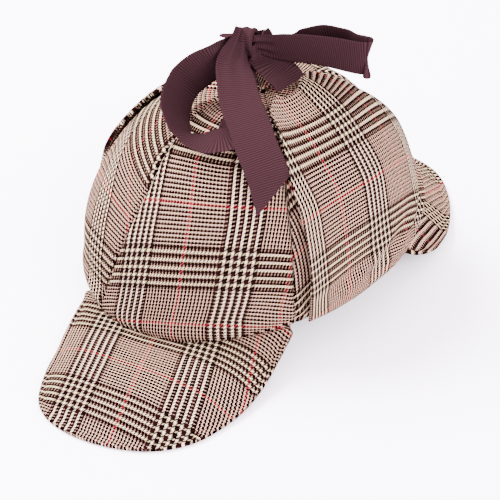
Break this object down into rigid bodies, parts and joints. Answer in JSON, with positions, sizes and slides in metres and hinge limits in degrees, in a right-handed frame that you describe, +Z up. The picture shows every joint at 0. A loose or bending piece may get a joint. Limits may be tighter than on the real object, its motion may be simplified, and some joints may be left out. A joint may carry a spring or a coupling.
{
  "type": "deerstalker hat",
  "caption": "Cloth hat with a gored crown, a peak in front and behind, and ear flaps folded up and tied over the top with a ribbon bow.",
  "frame": {"origin": "on the resting surface, under the middle of the bounding box", "axes": "-Y towards the front peak, +X towards the wearer's left, +Z up"},
  "size_m": [0.2214, 0.3298, 0.1577],
  "materials": {
    "check_cloth": "woven wool twill in a glen check",
    "ribbon": "ribbed ribbon with a soft sheen"
  },
  "bodies": {
    "root": {"crown_front": "check_cloth", "crown_left": "check_cloth", "crown_back": "check_cloth", "crown_right": "check_cloth", "front_peak": "check_cloth", "rear_peak": "check_cloth", "ear_flap_left": "check_cloth", "ear_flap_right": "check_cloth", "tie_left": "ribbon", "tie_right": "ribbon", "bow_knot": "ribbon", "bow_loop_left": "ribbon", "bow_loop_right": "ribbon", "bow_tail_front": "ribbon", "bow_tail_back": "ribbon"}
  },
  "joints": []
}
